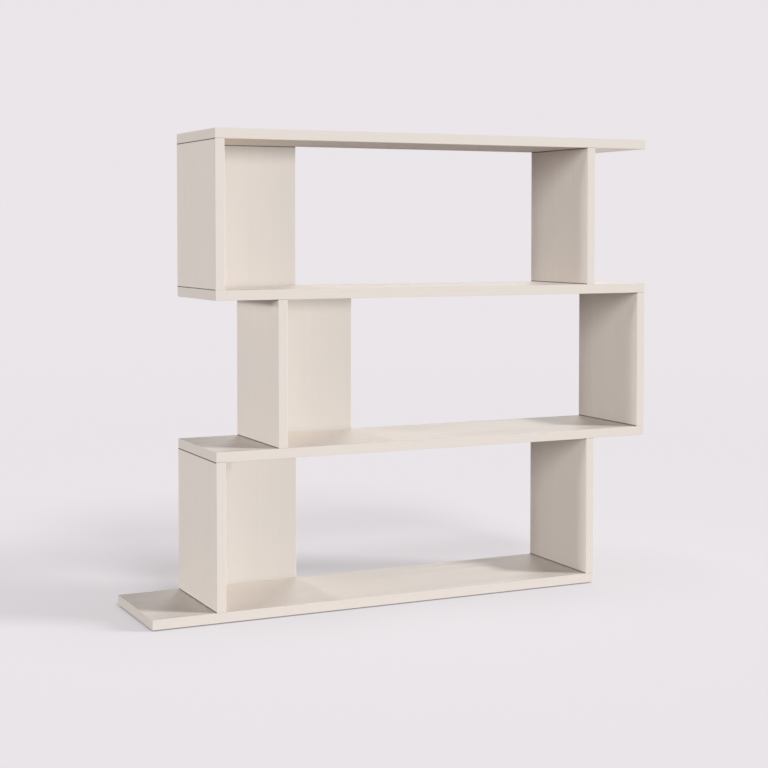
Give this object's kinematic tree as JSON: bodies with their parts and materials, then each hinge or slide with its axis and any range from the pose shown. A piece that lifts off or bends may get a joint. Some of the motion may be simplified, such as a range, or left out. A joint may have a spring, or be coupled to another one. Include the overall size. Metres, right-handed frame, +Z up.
{
  "type": "zigzag bookshelf",
  "caption": "Low open bookshelf of equal boards on staggered uprights that zigzag from level to level, with a partial back panel in each bay and low glides under the bottom board.",
  "frame": {"origin": "on the floor, at the middle of the footprint, under the glides", "axes": "+X along the boards to the right as seen from the front, +Y to the back, +Z up"},
  "size_m": [1.238, 0.26, 1.063],
  "materials": {
    "cream_board": "cream wood-grain foil on board, satin, with matching edges",
    "cream_panel": "cream wood-grain foil on thin fibreboard, satin",
    "beech": "raw beech dowel rod",
    "bolt_steel": "bright zinc-plated steel",
    "screw_steel": "bright zinc-plated steel",
    "lock_zinc": "raw die-cast zinc",
    "cap_plastic": "cream moulded plastic",
    "glide_plastic": "pale grey moulded plastic"
  },
  "bodies": {
    "root": {"bottom_board": "cream_board", "lower_shelf": "cream_board", "upper_shelf": "cream_board", "top_board": "cream_board", "lower_left_upright": "cream_board", "lower_right_upright": "cream_board", "middle_left_upright": "cream_board", "middle_right_upright": "cream_board", "upper_left_upright": "cream_board", "upper_right_upright": "cream_board", "lower_back_panel": "cream_panel", "middle_back_panel": "cream_panel", "upper_back_panel": "cream_panel", "lower_left_upright_dowels": "beech", "lower_left_upright_cam_bolts": "bolt_steel", "lower_left_upright_cam_locks": "lock_zinc", "lower_left_upright_cam_caps": "cap_plastic", "lower_right_upright_dowels": "beech", "lower_right_upright_cam_bolts": "bolt_steel", "lower_right_upright_cam_locks": "lock_zinc", "lower_right_upright_cam_caps": "cap_plastic", "middle_left_upright_dowels": "beech", "middle_left_upright_cam_bolts": "bolt_steel", "middle_left_upright_cam_locks": "lock_zinc", "middle_left_upright_cam_caps": "cap_plastic", "middle_right_upright_dowels": "beech", "middle_right_upright_cam_bolts": "bolt_steel", "middle_right_upright_cam_locks": "lock_zinc", "middle_right_upright_cam_caps": "cap_plastic", "upper_left_upright_dowels": "beech", "upper_left_upright_cam_bolts": "bolt_steel", "upper_left_upright_cam_locks": "lock_zinc", "upper_left_upright_cam_caps": "cap_plastic", "upper_right_upright_dowels": "beech", "upper_right_upright_cam_bolts": "bolt_steel", "upper_right_upright_cam_locks": "lock_zinc", "upper_right_upright_cam_caps": "cap_plastic", "lower_back_panel_screws": "screw_steel", "middle_back_panel_screws": "screw_steel", "upper_back_panel_screws": "screw_steel", "glide_pads": "glide_plastic", "glide_nails": "bolt_steel"}
  },
  "joints": []
}
